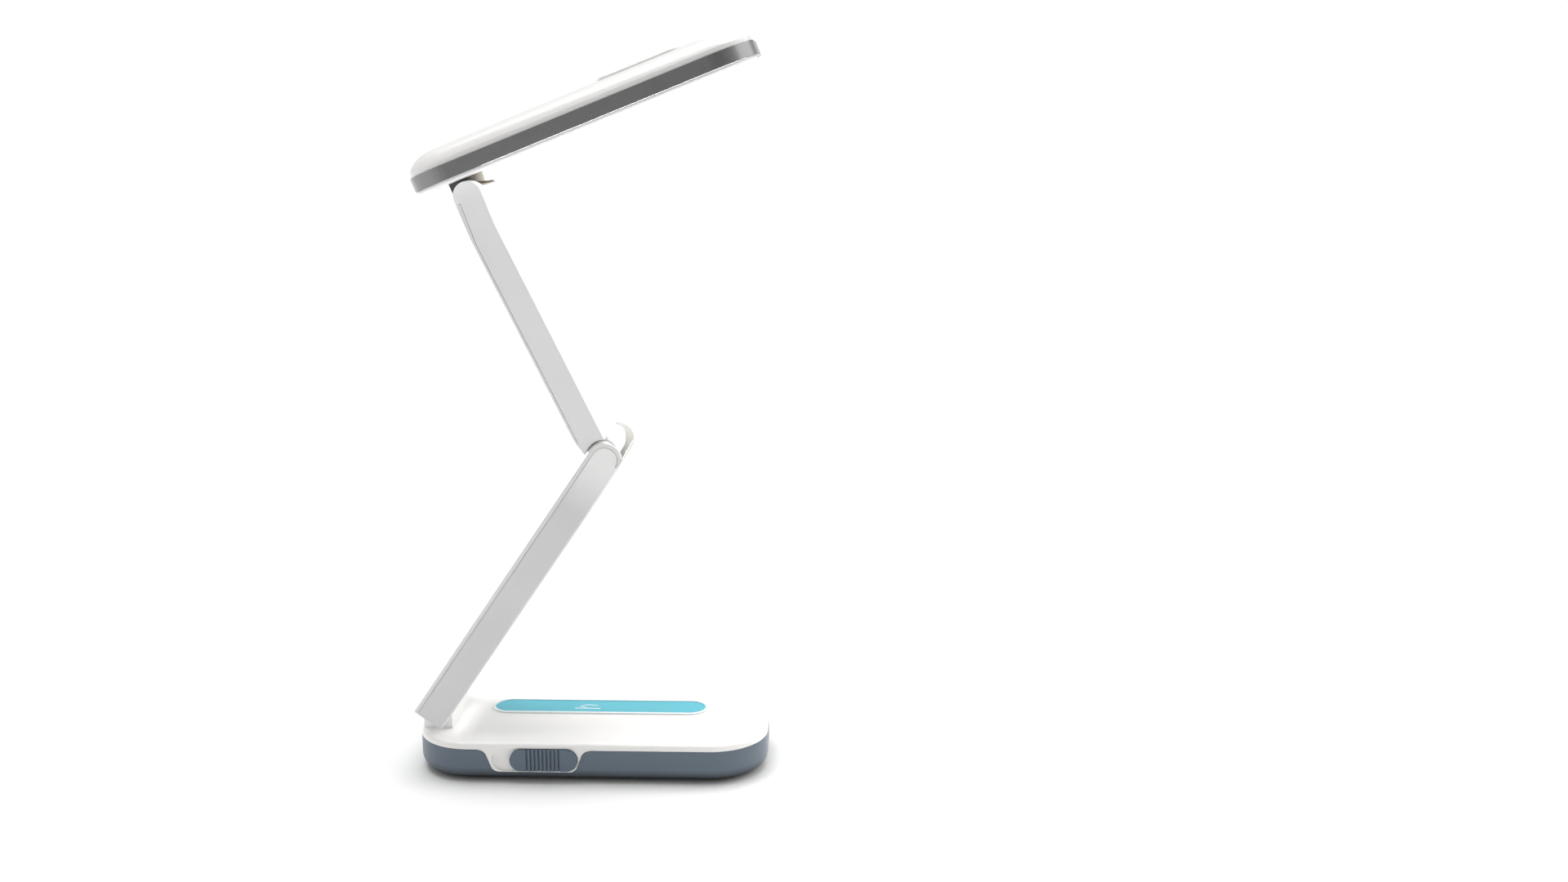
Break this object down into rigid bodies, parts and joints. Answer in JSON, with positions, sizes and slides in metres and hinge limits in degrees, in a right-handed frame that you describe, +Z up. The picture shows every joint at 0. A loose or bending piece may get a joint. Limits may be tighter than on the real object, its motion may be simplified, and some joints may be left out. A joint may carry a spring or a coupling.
{
  "type": "folding rechargeable desk lamp",
  "caption": "Folding rechargeable desk lamp: a flat base with a slide switch, a channel-shaped lower arm that a slimmer upper arm folds into, and a long slim lit head.",
  "frame": {"origin": "centre of the base's footprint, on the surface it stands on", "axes": "+X from the base hinge towards the free ends of base and head, +Y to the rear (the switch is on the -Y side), +Z up"},
  "size_m": [0.205, 0.0897, 0.4187],
  "materials": {
    "slate_plastic": "satin moulded slate blue-grey plastic",
    "white_gloss": "polished white plastic",
    "white_satin": "satin white plastic",
    "pearl_rim": "thin polished white rim",
    "turquoise": "pale turquoise inlay with a soft shine",
    "rubber": "matt black rubber",
    "steel": "turned steel",
    "iron": "pressed iron weight",
    "cell_wrap": "shrink-wrapped cells",
    "inner_plastic": "unpainted white moulding",
    "board": "green circuit board",
    "black_plastic": "black socket plastic",
    "red_lens": "clear red lens",
    "brass": "thin spring washers",
    "knob_plastic": "slate plastic with fine ribs",
    "cable_rubber": "flat insulated lead",
    "grey_satin": "satin grey plastic",
    "grey_band": "satin silver side band",
    "opal": "milky translucent diffuser",
    "led_board_white": "white solder mask",
    "led_yellow": "yellow phosphor"
  },
  "bodies": {
    "base": {"base_lower_shell": "slate_plastic", "base_upper_shell": "white_gloss", "stripe_rim": "pearl_rim", "stripe_inlay": "turquoise", "rubber_feet": "rubber", "base_screws": "steel", "ballast_plate": "iron", "battery_cells": "cell_wrap", "battery_cradle": "inner_plastic", "control_board": "board", "slide_switch_body": "steel", "charging_socket": "black_plastic", "charge_lamp": "red_lens", "base_hinge_block": "white_satin", "hinge_block_screws": "steel", "base_friction_washers": "brass"},
    "power_slider": {"slide_switch_knob": "knob_plastic"},
    "lower_arm": {"lower_arm_shell": "white_satin", "lower_arm_liner": "white_gloss", "base_hinge_pin": "steel", "elbow_pin": "steel", "elbow_friction_washers": "brass", "lower_arm_lead": "cable_rubber"},
    "upper_arm": {"upper_arm_shell": "white_satin", "upper_arm_cover": "white_gloss", "upper_arm_screws": "steel", "head_hinge_pin": "steel", "head_friction_washers": "brass", "upper_arm_lead": "cable_rubber"},
    "head": {"head_hinge_block": "grey_satin", "hinge_plate_screws": "steel", "head_base_plate": "white_satin", "head_bezel": "grey_band", "head_top_cover": "white_gloss", "head_top_pad": "white_gloss", "diffuser": "opal", "reflector_tray": "inner_plastic", "led_board": "led_board_white", "leds": "led_yellow", "head_screws": "steel"}
  },
  "joints": [
    {"name": "base_hinge", "type": "hinge", "parent": "base", "child": "lower_arm", "pos_m": [-0.0934, 0, 0.0392], "axis": [0, 1, 0], "range_deg": [-20, 48]},
    {"name": "elbow_hinge", "type": "hinge", "parent": "lower_arm", "child": "upper_arm", "pos_m": [0.00971, 0, 0.18978], "axis": [0, -1, 0], "range_deg": [-50, 103]},
    {"name": "head_hinge", "type": "hinge", "parent": "upper_arm", "child": "head", "pos_m": [-0.05917, 0, 0.3342], "axis": [0, 1, 0], "range_deg": [-45, 84]},
    {"name": "power_slide", "type": "slide", "parent": "base", "child": "power_slider", "axis": [1, 0, 0], "range_m": [-0.01, 0]}
  ]
}
